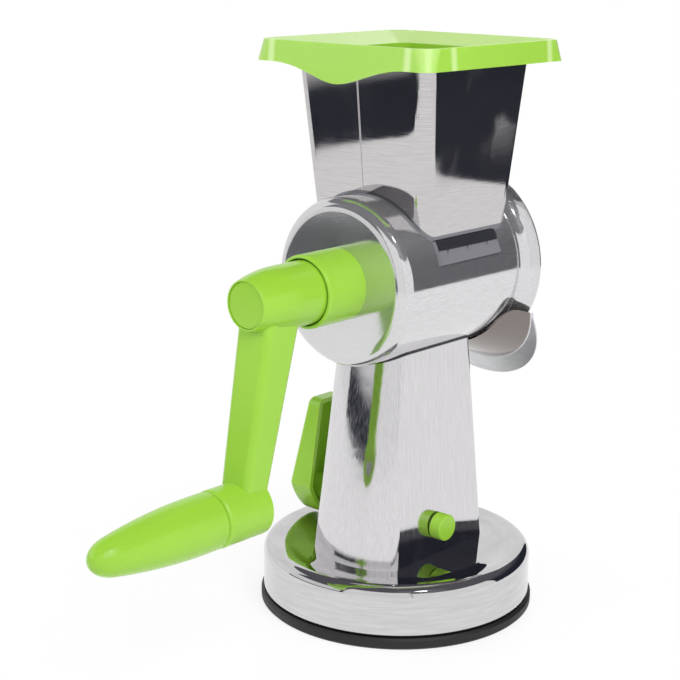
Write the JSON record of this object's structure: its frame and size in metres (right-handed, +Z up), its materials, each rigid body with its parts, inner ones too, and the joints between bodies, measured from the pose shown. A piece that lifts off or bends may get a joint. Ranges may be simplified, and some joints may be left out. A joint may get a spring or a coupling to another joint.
{
  "type": "rotary cabbage shredder",
  "caption": "Hand cranked rotary shredder: steel barrel and square hopper on a neck over a suction base, with plastic crank, grip, hopper guard and locking lever.",
  "frame": {"origin": "centre of the suction pad's underside, on the table", "axes": "+Z up, +Y along the barrel towards the outlet with the crank at the -Y end, +X to the right seen from the crank, the locking lever on the -X side"},
  "size_m": [0.129, 0.2562, 0.263],
  "materials": {
    "black_rubber": "moulded black rubber, satin",
    "polished_steel": "mirror polished stainless sheet with faint drawing lines",
    "plain_steel": "plain turned or pressed steel",
    "blade_steel": "punched stainless sheet",
    "green_plastic": "glossy lime green moulded plastic",
    "green_guard": "glossy lime green moulded plastic, slightly translucent",
    "drum_plastic": "moulded lime green plastic",
    "frame_plastic": "plain black moulded plastic"
  },
  "bodies": {
    "body": {"suction_pad": "black_rubber", "pad_middle": "black_rubber", "base_shell": "polished_steel", "base_frame": "frame_plastic", "base_screws": "plain_steel", "neck": "polished_steel", "neck_foot": "plain_steel", "barrel": "polished_steel", "hopper": "polished_steel", "hopper_guard": "green_guard", "outlet_spout": "polished_steel", "crank_bearing": "green_plastic", "bearing_nut": "green_plastic", "shaft_bush_left": "frame_plastic", "shaft_bush_right": "frame_plastic", "post_spring": "plain_steel"},
    "crank": {"crank": "green_plastic", "hub_cap": "green_plastic", "crank_screw": "plain_steel", "drive_shaft": "plain_steel", "grip_pin": "plain_steel", "grip_clip": "plain_steel"},
    "grip": {"grip": "green_plastic"},
    "drum": {"drum_hub": "drum_plastic", "drum_blade": "blade_steel", "drum_rim": "drum_plastic", "drum_rivets": "plain_steel"},
    "lock_lever": {"lock_lever": "green_plastic", "lever_screw": "plain_steel", "cam_shaft": "plain_steel", "shaft_cap": "green_plastic"},
    "pull_post": {"pull_post": "frame_plastic"}
  },
  "joints": [
    {"name": "crank_spin", "type": "hinge", "parent": "body", "child": "crank", "pos_m": [0, 0, 0.159], "axis": [0, 1, 0], "continuous": true},
    {"name": "grip_spin", "type": "hinge", "parent": "crank", "child": "grip", "pos_m": [0, -0.15, 0.0708], "axis": [0, 1, 0], "continuous": true},
    {"name": "drum_pull", "type": "slide", "parent": "crank", "child": "drum", "axis": [0, 1, 0], "range_m": [0, 0.085]},
    {"name": "lever_turn", "type": "hinge", "parent": "body", "child": "lock_lever", "pos_m": [0, 0, 0.041], "axis": [-1, 0, 0], "range_deg": [0, 90]},
    {"name": "post_lift", "type": "slide", "parent": "body", "child": "pull_post", "axis": [0, 0, 1], "range_m": [0, 0.00453], "deforming": ["pad_middle", "post_spring"]}
  ],
  "couplings": [
    {"joint": "post_lift", "follows": "lever_turn", "m_per_rad": 0.002881}
  ]
}
